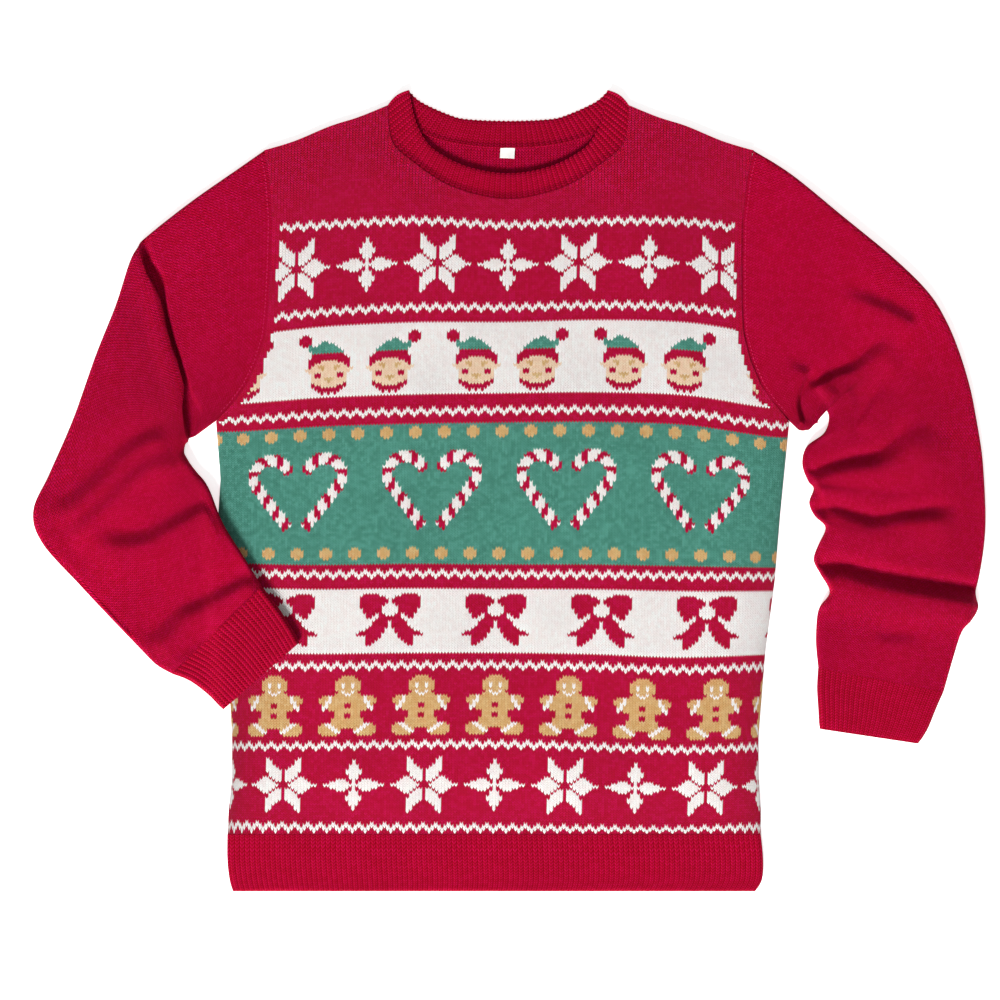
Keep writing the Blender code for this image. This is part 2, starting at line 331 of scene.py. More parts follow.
class Line:
    """A line across the cloth, for the distance of any point from it."""

    def __init__(self, points):
        self.points = points
        self.onward = [
            (points[min(k + 1, len(points) - 1)] - points[max(k - 1, 0)]).normalized()
            for k in range(len(points))
        ]
        self.tree = KDTree(len(points))
        for number, point in enumerate(points):
            self.tree.insert((point.x, point.y, 0), number)
        self.tree.balance()

    def nearest(self, x, y):
        """The nearest point, the distance to the line's left, the distance past its ends and the
        share of the way along."""
        _, number, _ = self.tree.find((x, y, 0))
        point, onward = self.points[number], self.onward[number]
        away = Vector((x, y)) - point
        past = 0.0
        if number == 0:
            past = max(-away.dot(onward), 0.0)
        if number == len(self.points) - 1:
            past = max(away.dot(onward), 0.0)
        return point, onward.x * away.y - onward.y * away.x, past, number / (len(self.points) - 1)


def cast_on(columns, rows, stitch):
    """A grid of knitting; stitch(u, v) gives the stitch and row number at its points, kept as UVs."""
    bm = bmesh.new()
    bmesh.ops.create_grid(bm, x_segments=columns, y_segments=rows, size=0.5)
    layer = bm.loops.layers.uv.new("stitches")
    for vert in bm.verts:
        number = stitch(vert.co.x + 0.5, vert.co.y + 0.5)
        for loop in vert.link_loops:
            loop[layer].uv = number
    return bm


def place_points(bm, place):
    """Moves the points of a fresh grid to place(u, v), in millimetres, u and v being 0 to 1."""
    for vert in bm.verts:
        vert.co = place(vert.co.x + 0.5, vert.co.y + 0.5)


def cut_to(bm, outline):
    """Cuts a panel's knitting along its armholes, shoulders and neck, and evens out the cut edge."""
    outside = []
    for face in bm.faces:
        centre = face.calc_center_median()
        if centre.y > UNDERARM and outline.nearest(centre.x, centre.y)[1] > 0:
            outside.append(face)
    bmesh.ops.delete(bm, geom=outside, context="FACES")
    edge = [v for v in bm.verts if v.is_boundary and v.co.y > UNDERARM]
    for vert in edge:
        point = outline.nearest(vert.co.x, vert.co.y)[0]
        if (point - vert.co.xy).length < 6:
            vert.co.xy = point
    for tip in ARMHOLES:
        corner = Vector(tip[0:2])
        nearest = min(edge, key=lambda vert: (vert.co.xy - corner).length)
        nearest.co.xy = corner
    near = set()
    for vert in edge:
        for link in vert.link_edges:
            near.add(link.other_vert(vert))
    near = [v for v in near if not v.is_boundary]
    for _ in range(3):
        bmesh.ops.smooth_vert(bm, verts=near, factor=0.5, use_axis_x=True, use_axis_y=True)


def edge_round(x, y, depth):
    """How far a panel's face turns in towards its side edge, to a depth."""
    left, right = side_edges(y)
    inside = max(min(x - left, right - x), 0.0)
    turn = max(1 - inside / EDGE_ROUND, 0.0)
    return depth * (1 - math.sqrt(max(1 - turn * turn, 0.0)))


def knitted_piece(name, bm, wall, material, node):
    """Makes a modelled outer face a closed piece of cloth, with its wall inwards, in place of a solid."""
    bmesh.ops.scale(bm, vec=(MM, MM, MM), verts=bm.verts)
    piece = put_in_scene(name, bm, material)
    piece.data.shade_smooth()
    solid = piece.modifiers.new("wall", "SOLIDIFY")
    solid.thickness = wall * MM
    solid.offset = -1
    solid.use_even_offset = False
    made = piece.evaluated_get(bpy.context.evaluated_depsgraph_get())
    piece.data = bpy.data.meshes.new_from_object(made)
    piece.modifiers.clear()
    piece.data.set_sharp_from_angle(angle=math.radians(RIM_ANGLE))
    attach(piece, "root")
    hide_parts(node)
    return piece


SLANT = 0.9  # how far the arms of a V rise past their row, in rows


def stitch_relief(tree):
    """Stocking stitch from the stitch count in the UVs: columns of small V's, each row's arms
    rising past the row above. Gives the yarn's height, whether the row above shows and how the
    stitch is turned, as a random number."""
    count = add_node(tree, "SeparateXYZ", _0=add_node(tree, "UVMap", {"uv_map": "stitches"}))
    aside = count.outputs["X"]
    for operation, number in (("FRACT", 0), ("SUBTRACT", 0.5), ("ABSOLUTE", 0), ("MULTIPLY", 2)):
        aside = add_node(tree, "Math", {"operation": operation}, _0=aside, _1=number)
    lean = add_node(tree, "Math", {"operation": "MULTIPLY_ADD"}, _0=aside, _1=-SLANT, _2=SLANT)
    up = add_node(tree, "Math", {"operation": "FRACT"}, _0=count.outputs["Y"])
    up = add_node(tree, "Math", {"operation": "ADD"}, _0=up, _1=lean)
    above = add_node(tree, "Math", {"operation": "GREATER_THAN"}, _0=up, _1=1.0)
    # an arm is round along its length and across it, with a gap between one wale and the next
    arm, side = up, aside
    for operation, number in (("FRACT", 0), ("MULTIPLY", math.pi), ("SINE", 0), ("POWER", 0.75)):
        arm = add_node(tree, "Math", {"operation": operation}, _0=arm, _1=number)
    for operation, number in (("MULTIPLY", math.pi), ("SINE", 0), ("MAXIMUM", 0), ("POWER", 0.6)):
        side = add_node(tree, "Math", {"operation": operation}, _0=side, _1=number)
    side = add_node(tree, "Math", {"operation": "MULTIPLY_ADD"}, _0=side, _1=0.55, _2=0.45)
    height = add_node(tree, "Math", {"operation": "MULTIPLY"}, _0=arm, _1=side)
    gap = add_node(tree, "Math", {"operation": "MULTIPLY_ADD"}, _0=aside, _1=4.0, _2=-3.0)
    gap = add_node(tree, "Math", {"operation": "MAXIMUM"}, _0=gap, _1=0.0)
    height = add_node(tree, "Math", {"operation": "MULTIPLY_ADD"}, _0=gap, _1=-0.25, _2=height)
    # each stitch takes the light a little differently, by how its loop turned
    row = add_node(tree, "Math", {"operation": "ADD"}, _0=count.outputs["Y"], _1=lean)
    row = add_node(tree, "Math", {"operation": "FLOOR"}, _0=row)
    column = add_node(tree, "Math", {"operation": "FLOOR"}, _0=count.outputs["X"])
    loop = add_node(tree, "CombineXYZ", X=column, Y=row)
    turn = add_node(tree, "TexWhiteNoise", {"noise_dimensions": "2D"}, Vector=loop)
    return height, above, turn


def yarn_surface(surface, colour, height, turn, depth, relief, uneven, sheen):
    """The finish that all the yarns share: matt, a little fuzzy, and darker between the strands: painted
    shade, for light that goes from yarn to yarn there; white stays light and strong colours go dark. uneven
    is how much deeper or paler a stitch may be than the next."""
    tree = surface.id_data
    place = add_node(tree, "TexCoord").outputs["Object"]
    # painted shade: the colour is raised to a higher power, so it is darker where the yarn lies low between
    # the strands
    deep = add_node(tree, "MapRange", Value=height, To_Min=1 + depth, To_Max=1.0)
    loops = add_node(tree, "MapRange", Value=turn, To_Min=-uneven, To_Max=uneven)
    power = add_node(tree, "Math", {"operation": "ADD"}, _0=deep, _1=loops)
    shaded_heathered_colour = add_node(tree, "Gamma", Color=colour, Gamma=power)
    # heather of about 1 mm, where the yarn's twist turns, and tension over about 60 mm
    for scale, most in ((950.0, 0.07), (16.0, 0.04)):
        noise = add_node(tree, "TexNoise", Vector=place, Scale=scale, Detail=2.0)
        grain = add_node(
            tree, "MapRange", Value=noise, From_Min=0.3, From_Max=0.7, To_Min=1 - most, To_Max=1 + most
        )
        shaded_heathered_colour = add_node(tree, "VectorMath", {"operation": "SCALE"}, _0=shaded_heathered_colour, Scale=grain)
    # fibres of about 0.1 mm over the strands, drawn at 0.4 mm so that they show
    fuzz = add_node(tree, "TexNoise", Vector=place, Scale=2400.0, Detail=1.0)
    rough = add_node(tree, "Math", {"operation": "MULTIPLY_ADD"}, _0=fuzz, _1=0.35, _2=height)
    bump = add_node(tree, "Bump", Height=rough, Distance=relief * MM)
    fill(surface, Base_Color=shaded_heathered_colour, Normal=bump, Roughness=0.92, Specular_IOR_Level=0.06)
    fill(surface, Sheen_Weight=0.05, Sheen_Roughness=0.5, Sheen_Tint=colour_of(sheen))


RED = "C2064A"
RED_SHEEN = "D8406A"


def red_acrylic(name, red, depth, relief, uneven):
    """Brushed acrylic, 2/28 yarn in several ends: even V's, saturated red, no gloss to speak of."""
    material, surface = new_material(name)
    height, _, turn = stitch_relief(material.node_tree)
    colour = add_node(material.node_tree, "RGB")
    colour.outputs[0].default_value = colour_of(red)
    yarn_surface(surface, colour, height, turn, depth, relief, uneven, RED_SHEEN)
    return material


RED_KNIT = red_acrylic("red_acrylic_stocking_stitch", RED, 0.8, 1.2, 0.13)
BACK_BLOCK = 1.5  # stitches to a face across the back, which has no pattern


def back_panel():
    columns = [-STITCHES / 2 + k for k in (0, 0.6, 1.4, 2.4, 3.8)]
    columns += [k * BACK_BLOCK for k in range(-57, 58)]
    columns += [-stitch for stitch in reversed(columns[:5])]
    rows = [k * 2 for k in range(ROWS // 2 + 1)]
    across, up = len(columns) - 1, len(rows) - 1

    def numbers(u, v):
        return columns[round(u * across)] + STITCHES / 2, rows[round(v * up)]

    def place(u, v):
        x, y = stitch_place(columns[round(u * across)], rows[round(v * up)])
        return Vector((x, y, edge_round(x, y, SIDE_SEAM_HEIGHT - SEAM_GAP)))

    bm = cast_on(across, up, numbers)
    place_points(bm, place)
    cut_to(bm, Line(panel_outline(BACK_NECK_SEAM)))
    bmesh.ops.reverse_faces(bm, faces=bm.faces)
    piece = knitted_piece("back", bm, WALL, RED_KNIT, "back_panel")


back_panel()

# ---------------------------------------------------------------- Front panel
# The same cut with a lower neck, knitted in jacquard: five yarns, a face to each stitch, and the
# chart below. Where one yarn gives way to another, the V's of the upper row hang into the lower.

FRONT_NECK_SEAM = ((105.5, 337.4), (101, 305), (78.5, 284), (53, 267.5), (24, 258), (0, 255))
FRONT_TOP = 4.8  # height of the front's outer face at its edges
FRONT_RISE = 2.0
PLAIN_ROW = 252  # above this row there is only red, with two rows to a face
RED_MARGIN = 5.7  # the last stitches before an armhole are red
GRIN = 0.15  # the most of the red floats that shows between the other yarns' stitches

YARNS = "RWGTS"  # red, white, green, tan, pale skin
YARN_COLOURS = ("CA0850", "FFFCFA", "64AA9A", "E6C38E", "F8E2C8")

ZIGZAG_ROWS = (3, 37, 69, 106, 173, 215, 249)
ZIGZAG = ("W...", "WW.W", ".WWW", "..W.")
WHITE_BANDS = ((74, 100), (180, 209))
GREEN_BAND = (110, 168)

# Charts are read from the top row down; a dot leaves the ground as it is
SMALL_STAR = (  # the quarter at the upper left, with its middle row and stitch
    ".........W",
    ".........W",
    "........WW",
    "........WW",
    ".......WWW",
    ".......WWW",
    "........WW",
    "........WW",
    "....WWW..W",
    "..WWWWWW.W",
    "WWWWWWWWWW",
)
LARGE_STAR = (
    ".....W.....",
    ".....WW....",
    ".....WW....",
    ".....WWW...",
    ".....WWWW..",
    ".....WWWWW.",
    "......WWWW.",
    "......WWWW.",
    "....WW.WWW.",
    "...WWWW.WW.",
    "..WWWWWW...",
    "WWWWWWWWW..",
)
GINGERBREAD = (  # the half at -X
    ".......TT",
    "......TTT",
    ".....TTTT",
    ".....TTWT",
    ".....TTWT",
    ".....TTTT",
    "......TWT",
    ".....TTTW",
    ".TTWTTTTT",
    "TTTWTTTTT",
    "TTWWTTTTT",
    ".TWTTTTTR",
    ".WWTTTTTR",
    ".W.TTTTTT",
    ".....TTTT",
    ".....TTTR",
    ".....TTTR",
    "....TTTTT",
    "....TTTTT",
    ".TWWTTTTT",
    "TTTWWTTTT",
    "TTTTWWT..",
    "TTTTTWW..",
    ".TTTTT...",
)
BOW = (  # the half at -X, with the middle stitch
    "..RRRRR....",
    ".RRRRRRRR..",
    ".RRRRRRRRR.",
    ".RRRRRRRRR.",
    ".RRRRRRRR..",
    ".RRRRRRR...",
    "..RRRRRR...",
    "..RRRRRR...",
    "...RRR.RR..",
    "...RR..RRRR",
    "......RRRRR",
    ".....RRRRR.",
    ".....RRRRR.",
    "....RRRRRR.",
    "...RRRRRR..",
    ".RRRRRRRR..",
    "RRRRRRRR...",
    "...RRRRR...",
    "...RRRR....",
    "...RRR.....",
    "...RR......",
)
ELF = (
    ".RR................",
    "RRRR...............",
    "RRRR...............",
    "RRRR...GG..........",
    ".RRG..GGGGG........",
    "...GGGGGGGGG.......",
    "...GGGGGGGGGG......",
    "....GGGGGGGGGG.....",
    "....RRRRRRRRRR.....",
    "....RRRRRRRRRRR....",
    "...RRRRRRRRRRRRR...",
    "...RRRRSSSSSRRRR...",
    "...RRSSSSSSSSSRR...",
    "...RSSTTSSSTTSSR...",
    "..SSSSSTSSSTSSSSS..",
    "...SSSSSSSSSSSSS...",
    "....SRRSSSSSRRS....",
    "....SRRSSSSSRRS....",
    "....SSSSTTTSSSS....",
    "....SSSSSTSSSSS....",
    "....RSSSSSSSSSR....",
    "....RRRSSSSSRRR....",
    ".....RRRRRRRRR.....",
    "......RRRRRRR......",
    ".......R.R.R.......",
)
DOT = (".TT.", "TTTT", "TTTT", "TTTT", ".TT.")

CANE_BEND = (-23.2, 14.8)  # centre of a candy cane's crook, from the heart's middle
CANE_RADIUS = 15.6
CANE_TIP = math.radians(8)
CANE_TURN = math.radians(209)
CANE_SHANK = 47.5
CANE_HALF_WIDTH = 4.9
CANE_STRIPE = 14.4
CANE_RED_SHARE = 0.42
CANE_TWIST = -0.5


def cane_yarn(x, y):
    """Red, white or nothing at a place near a candy cane: a crook and a straight shank, with stripes
    that are counted along its middle line and slant as its twist does."""
    away = Vector((x - CANE_BEND[0], y - CANE_BEND[1]))
    end = CANE_TIP + CANE_TURN
    shank_start = Vector((math.cos(end), math.sin(end))) * CANE_RADIUS
    down = Vector((-math.sin(end), math.cos(end)))
    past = (away - shank_start).dot(down)
    if past > 0 and away.x < CANE_SHANK / 2 and y < CANE_BEND[1]:
        length = CANE_RADIUS * CANE_TURN + past
        aside = away.dot(Vector((math.cos(end), math.sin(end)))) - CANE_RADIUS
    else:
        turn = math.atan2(away.y, away.x) % (2 * math.pi)
        length = CANE_RADIUS * (turn - CANE_TIP)
        aside = away.length - CANE_RADIUS
    if abs(aside) > CANE_HALF_WIDTH or not 0 <= length <= CANE_RADIUS * CANE_TURN + CANE_SHANK:
        return "."
    stripe = (length + CANE_TWIST * aside) / CANE_STRIPE + 0.2
    return "R" if stripe % 1 < CANE_RED_SHARE else "W"


def unfold(rows, middle_stitch_shared=True):
    """A whole chart from its half at -X."""
    return [row + row[::-1][1 if middle_stitch_shared else 0 :] for row in rows]


def unfold_both(rows):
    """A whole chart from its quarter at the upper left."""
    upper = unfold(rows)
    return upper + upper[-2::-1]


def heart():
    """Two candy canes that face each other."""
    rows = []
    for row in range(16, -17, -1):
        rows.append("".join(cane_yarn(stitch * WALE, row * COURSE) for stitch in range(-16, 1)))
    return unfold(rows)


def knitting_chart():
    """The yarn of each stitch of the front, by row from the hem and by stitch from -X."""
    middle = STITCHES // 2
    chart = [["R"] * STITCHES for _ in range(ROWS + 2)]

    def band(first, end, yarn):
        for row in range(first, end):
            chart[row] = [yarn] * STITCHES

    def work(motif, stitch, row, turned=False):
        """Works a motif with its middle on a stitch, counted from the middle one, and its foot on a row."""
        for number, line in enumerate(reversed(motif)):
            line = line[::-1] if turned else line
            start = middle + stitch - len(line) // 2
            for column, yarn in enumerate(line, start):
                if yarn != "." and 0 <= column < STITCHES:
                    chart[row + number][column] = yarn

    for first, end in WHITE_BANDS:
        band(first, end, "W")
    band(*GREEN_BAND, "G")
    for centre in ZIGZAG_ROWS:
        line = [row * (STITCHES // 4 + 1) for row in ZIGZAG]
        work([row[:STITCHES] for row in line], 0, centre - 2)
    for foot in (9, 221):
        for k in range(-2, 3):
            work(unfold_both(SMALL_STAR), 44 * k, foot + 1)
        for k in (-66, -22, 22, 66):
            work(unfold_both(LARGE_STAR), k, foot)
    for k in range(-4, 5):
        work(unfold(GINGERBREAD, False), 23 * k, 41)
    for k in range(-3, 4):
        work(unfold(BOW), 33 * k - 1, 77)
    for k in range(-10, 11):
        for row in (112, 162):
            work(DOT, 9 * k, row)
    for k in (-63, -21, 21, 63):
        work(heart(), k - 1, 124)
    for k in range(-2, 3):
        work(ELF, 46 * k - 9, 181)
        work(ELF, 46 * k + 10, 181, turned=True)
    return chart


def front_height(x, y):
    """Height of the front's outer face: it bellies softly and keeps one crease from storage."""
    left, right = side_edges(y)
    u, v = (x - left) / (right - left), (y + 300) / 640
    belly = smoothstep(u / 0.3) * smoothstep((1 - u) / 0.12)
    belly *= smoothstep(v / 0.1) * smoothstep((1 - v) / 0.1)
    crease = 0.35 * math.exp(-(((y - 3) / 14) ** 2))
    ripple = 0.25 * math.sin(x / 31 + y / 57) + 0.2 * math.sin(x / 19 - y / 43 + 1)
    return FRONT_TOP + belly * (FRONT_RISE * (1 - crease) + ripple)


def jacquard():
    """Five acrylic yarns knitted together, each plain and matt; the red floats behind grin through."""
    material, surface = new_material("acrylic_jacquard_five_yarns")
    tree = material.node_tree
    height, above, turn = stitch_relief(tree)
    own = add_node(tree, "Attribute", {"attribute_name": "own_yarn"}).outputs["Fac"]
    upper = add_node(tree, "Attribute", {"attribute_name": "yarn_above"}).outputs["Fac"]
    number = add_node(tree, "Mix", {"data_type": "FLOAT"}, Factor=above, _2=own, _3=upper)
    ramp = add_node(tree, "ValToRGB", Fac=number)
    ramp.color_ramp.interpolation = "CONSTANT"
    stops = ramp.color_ramp.elements
    stops.remove(stops[1])
    for k, code in enumerate(YARN_COLOURS):
        stop = stops[0] if k == 0 else stops.new((k - 0.5) / len(YARNS))
        stop.color = colour_of(code)
    gap = add_node(tree, "MapRange", Value=height, From_Max=0.9, To_Min=GRIN, To_Max=0.0)
    grin = add_node(tree, "Math", {"operation": "MULTIPLY"}, _0=gap, _1=turn)
    floats = colour_of(YARN_COLOURS[0])
    mixed = add_node(tree, "Mix", {"data_type": "RGBA"}, Factor=grin, _6=ramp, _7=floats)
    yarn_surface(surface, mixed.outputs[2], height, turn, 0.8, 1.2, 0.18, "C8B8B0")
    return material


def front_panel():
    rows = list(range(PLAIN_ROW + 1)) + list(range(PLAIN_ROW + 2, ROWS + 1, 2))
    up = len(rows) - 1
    chart = knitting_chart()

    def numbers(u, v):
        return u * STITCHES, rows[round(v * up)]

    def place(u, v):
        x, y = stitch_place((u - 0.5) * STITCHES, rows[round(v * up)])
        turn_in = edge_round(x, y, FRONT_TOP - SIDE_SEAM_HEIGHT - SEAM_GAP)
        return Vector((x, y, front_height(x, y) - turn_in))

    bm = cast_on(STITCHES, up, numbers)
    own = bm.faces.layers.float.new("own_yarn")
    above = bm.faces.layers.float.new("yarn_above")
    for face in bm.faces:
        centre = face.calc_center_median()
        stitch, line = int((centre.x + 0.5) * STITCHES), int((centre.y + 0.5) * up)
        face[own] = YARNS.index(chart[rows[line]][stitch]) / len(YARNS)
        face[above] = YARNS.index(chart[rows[line + 1]][stitch]) / len(YARNS)
    place_points(bm, place)
    outline = Line(panel_outline(FRONT_NECK_SEAM))
    cut_to(bm, outline)
    for face in bm.faces:
        centre = face.calc_center_median()
        if centre.y > UNDERARM and outline.nearest(centre.x, centre.y)[1] > -RED_MARGIN:
            face[own] = face[above] = 0.0
    piece = knitted_piece("front", bm, WALL, jacquard(), "front_panel")


front_panel()

# ---------------------------------------------------------------- Hem ribs
# Each panel starts with 50 mm of 1x1 rib, knitted tighter than the panel, so it draws the hem in.
# Its knit wales stand up as cords and its purl wales sink between them.

RIB_WALL = 1.6
RIB_DEPTH = 0.5
RIB_COURSE = 2.3
RIB_HEIGHT = 50
FOOT_ROUND = 3.0  # height over which the rib rounds at its foot
RIB_PARTS = 6  # faces across one rib

# From its bottom edge up: y in the middle, x at -X side, x at +X side
HEM_RIB = (
    (-350.4, -242, 215),
    (-340, -245, 221),
    (-322, -247, 222),
    (-300, -247, 220),
)
HEM_RIBS = 106
HEM_ROWS = 22


def rib_sink(rib):
    """How far a 1x1 rib lies below its cords at a place counted in ribs; cords lie at whole numbers."""
    return RIB_DEPTH * abs(math.sin(math.pi * rib)) ** 1.4


# The same red acrylic, coloured a darker red and with more painted shade between the strands: painted shade
# for the rib's close, dark furrows
# its darker red is painted shade, not a different yarn
RED_RIB = red_acrylic("red_acrylic_rib", "AE0442", 1.2, 0.3, 0.08)


def hem_rib(name, node, top, turn_in, face_down):
    """A strip of rib below a panel; its outer face is at a height and turns in at its sides and foot."""
    columns = HEM_RIBS * RIB_PARTS

    def numbers(u, v):
        return u * HEM_RIBS + 0.5, v * RIB_HEIGHT / RIB_COURSE

    def place(u, v):
        y, left, right = smooth_row(HEM_RIB, v * (len(HEM_RIB) - 1))
        x = left + (right - left) * u
        inside = max(min(x - left, right - x), 0.0)
        turn = max(1 - inside / EDGE_ROUND, 1 - (y - HEM_RIB[0][0]) / FOOT_ROUND, 0.0)
        sink = turn_in * (1 - math.sqrt(max(1 - turn * turn, 0.0))) + rib_sink(u * HEM_RIBS)
        wave = 0.3 * math.sin(u * 19) * (1 - v) * (1 - turn)
        return Vector((x, y - 0.3 * v, top + (sink if face_down else wave - sink)))

    bm = cast_on(columns, HEM_ROWS, numbers)
    place_points(bm, place)
    if face_down:
        bmesh.ops.reverse_faces(bm, faces=bm.faces)
    piece = knitted_piece(name, bm, RIB_WALL, RED_RIB, node)


hem_rib("hem_rib_of_back", "hem_rib_back", 0.0, 0.9, True)
hem_rib("hem_rib_of_front", "hem_rib_front", 5.0, 1.6, False)

# ---------------------------------------------------------------- Sleeves
# Two tubes of plain stocking stitch, flattened, linked into the armholes. The one at -X is bent at
# the elbow and lies with a deep tuck; both are thrown into slack folds, steep on the side of the hem.

# From the armhole to the rib: outer edge x, y; inner edge x, y; bend towards the body;
# height at the outer edge, height at the inner edge
BENT_SLEEVE = (
    (-214.5, 298, -257, 61, 30, 5.0, 5.0),
    (-236, 283, -260, 59, 22, 6.5, 6.0),
    (-280, 252, -268, 53, 10, 8.5, 7.0),
    (-318, 222, -275, 48, 3, 8.5, 7.0),
    (-325, 213, -280, 46, 0, 12.0, 11.5),
    (-332, 200, -281, 43, 0, 12.5, 12.5),
    (-344, 163, -283, 41, -3, 12.0, 13.0),
    (-362, 118, -284, 37, -4, 11.0, 13.0),
    (-382, 62, -284, 33, -3, 10.0, 13.0),
    (-403, 14, -282, 29, 0, 9.0, 12.5),
    (-416.6, -17, -279, 24, 0, 9.0, 12.0),
    (-409, -45, -273, 16, 0, 9.0, 10.0),
    (-375, -83, -266, 8, 0, 9.0, 9.0),
    (-344, -116, -260, -3, 0, 9.0, 8.0),
    (-322, -139, -250, -28, 0, 8.5, 8.5),
    (-309, -152, -234, -54, 0, 8.0, 8.5),
    (-295, -160, -216, -83, 0, 8.0, 8.0),
)
STRAIGHT_SLEEVE = (
    (213.5, 298, 245, 61, -30, 5.0, 5.0),
    (247, 277, 250, 56, -22, 6.5, 6.0),
    (291, 241, 254, 53, -8, 8.5, 7.5),
    (337, 203, 259, 53, 0, 9.0, 8.5),
    (367, 173, 263, 55, 0, 9.5, 10.0),
    (383, 147, 266, 68, 0, 9.0, 8.0),
    (394, 120, 271, 76.5, 0, 9.5, 6.0),
    (403, 90, 279, 66, 0, 9.5, 8.0),
    (408, 65, 275, 51, 0, 9.5, 9.5),
    (413, 35, 260, 39, 0, 9.0, 9.5),
    (415, 12, 256, 24, 0, 9.0, 9.0),
    (416, -8, 261, 9, 0, 9.5, 7.0),
    (416.4, -20, 266, 2, 0, 9.0, 9.0),
    (416.2, -34, 262, -10, 0, 8.5, 9.5),
    (415, -48, 267, -22, 0, 9.0, 7.5),
    (413, -62, 276, -32, 0, 9.5, 9.0),
    (410.5, -76, 270, -47, 0, 9.0, 10.0),
    (408, -87, 266, -60, 0, 8.0, 9.0),
    (408.5, -94, 272, -73, 0, 9.0, 8.0),
    (410, -102, 279.5, -88, 0, 10.0, 9.5),
    (405, -112, 272, -100, 0, 9.5, 9.5),
    (396, -122, 269, -110, 0, 8.5, 8.5),
    (389, -143, 268, -132, 0, 8.5, 8.5),
    (380, -175, 270, -154, 0, 8.0, 8.0),
)
SLEEVE_REST = 6.2  # height of the bent sleeve's underside where it lies on the body
SLEEVE_CLIMB = 16.0  # width over which it climbs, beside the body's edge
SLEEVE_CLEAR = 3.0  # it has climbed this far before the edge
CLIMB_TOP = 45.0  # y below which it climbs
CLIMB_LENGTH = 30.0  # length over which the climb sets in
SLEEVE_STEP = 1.8  # length of a face along a sleeve
SLEEVE_PARTS = (64, 6, 32, 6)  # faces over the top, round the inner edge, below, round the outer edge
SLEEVE_SEAM_GAP = 0.2

# Slack folds: depth from the crest to the furrow, width of the steep side at the start and the end,
# how crisp the furrow is, how far the furrow and the crest run out, how fast each end fades, then
# the furrow's line from -X to +X
BENT_FOLDS = (
    (
        7.5, (18, 16), 0.1, 14, 26, 25, 25,
        ((-408, -17), (-383, 1), (-363, 19), (-348, 35), (-332, 47), (-308, 59), (-294, 63)),
    ),
    (
        4.5, (13, 13), 0.1, 10, 22, 30, 30,
        ((-397, -41), (-377, -23), (-353, -3), (-333, 17), (-312, 32), (-287, 39)),
    ),
    (7.5, (20, 14), 0.1, 14, 26, 25, 8, ((-364, -28), (-342, -33), (-320, -32), (-302, -23), (-264, -4))),
    (
        7.5, (18, 13), 0.1, 13, 24, 20, 10,
        ((-324, -132), (-305, -115), (-290, -100), (-272, -92), (-224, -68)),
    ),
    (3, (14, 12), 0.1, 10, 18, 20, 20, ((-302, -150), (-284, -138), (-262, -126), (-240, -112))),
    (2.4, (3, 3), 0.5, 3, 5, 12, 12, ((-408, -39), (-394, -59), (-370, -84), (-343, -110), (-325, -129))),
)
STRAIGHT_FOLDS = (
    (5.5, (15, 13), 0.2, 11, 22, 45, 8, ((276, 179), (300, 178), (320, 172), (342, 162), (360, 151))),
    (7.0, (4, 16), 0.6, 8, 22, 6, 25, ((264, 91), (280, 103), (298, 111), (318, 128), (336, 139))),
    (8.0, (5, 5), 0.8, 5, 14, 12, 6, ((265, 107), (258, 93), (254, 79), (255, 67), (260, 57))),
    (3.0, (8, 8), 0.2, 8, 14, 10, 15, ((272, 95), (285, 91), (295, 80))),
    (3.5, (5, 6), 0.4, 8, 14, 12, 25, ((299, 53), (308, 68), (316, 82), (325, 98))),
    (1.6, (5, 5), 0.2, 6, 10, 15, 15, ((343, 108), (348, 124), (350, 142))),
    (
        9.5, (12, 17), 0.6, 7, 22, 5, 25,
        ((261, 16), (280, 24), (300, 29), (320, 33), (334, 43), (345, 56), (353, 68)),
    ),
    (
        8.0, (11, 15), 0.6, 7, 20, 5, 30,
        ((263, -17), (283, -14), (300, -18), (320, -22), (345, -18), (395, -12)),
    ),
    (10.5, (15, 17), 0.7, 7, 24, 5, 5, ((269, -65), (290, -64), (312, -69), (341, -75), (409, -86))),
    (2.6, (10, 10), 0.1, 10, 18, 20, 20, ((312, -123), (339, -124), (362, -122))),
)
# The tuck above the elbow, from the outer to the inner edge: the forearm lies over the upper arm
TUCK = ((-319, 221), (-319, 197), (-308, 170), (-298.5, 133), (-287, 95), (-286, 70), (-279, 44))
TUCK_FLOOR = 3.0  # height of the cloth at its bottom
TUCK_WALL = 1.8  # width of its steep side, under the forearm's edge
TUCK_GAPE = 2.6  # width of its bottom
TUCK_OPENINGS = ((7, 0.2), (11, 0.86))  # how much wider it gapes, at a share of its length
TUCK_SLOPE = 4.5  # width over which the upper arm rises out of it
TUCK_ROLL = 3.0  # how much the forearm swells along its edge
TUCK_LIP = 4.5  # how far the top of the forearm's edge leans out over the tuck
TUCK_PLACES = (2.6, 5.0)  # places in the table between which the faces are half as long
SLACK = 0.15  # height of the faint stripes in which the cloth slackens along the arm
UNDERARM_CREASE = (278, 71.5)  # the middle of the doubled cloth at the straight sleeve's underarm
CREASE_RADIUS = 21
CREASE_FADE = 8  # width over which the lift of that cloth fades


def climb(x, y):
    """Height that the bent sleeve's underside has gained at a point, where it climbs onto the body."""
    inside = x - side_edges(y)[0]
    rise = smoothstep((inside + SLEEVE_CLEAR + SLEEVE_CLIMB) / SLEEVE_CLIMB)
    return SLEEVE_REST * rise * smoothstep((CLIMB_TOP - y) / CLIMB_LENGTH)


def crease_lift(x, y):
    """Height of the straight sleeve's underside: it lies on the table, but its cloth doubles over under
    itself in the crease at the underarm."""
    away = math.hypot(x - UNDERARM_CREASE[0], y - UNDERARM_CREASE[1])
    return 1.15 * WALL * (1 - smoothstep((away - CREASE_RADIUS) / CREASE_FADE))


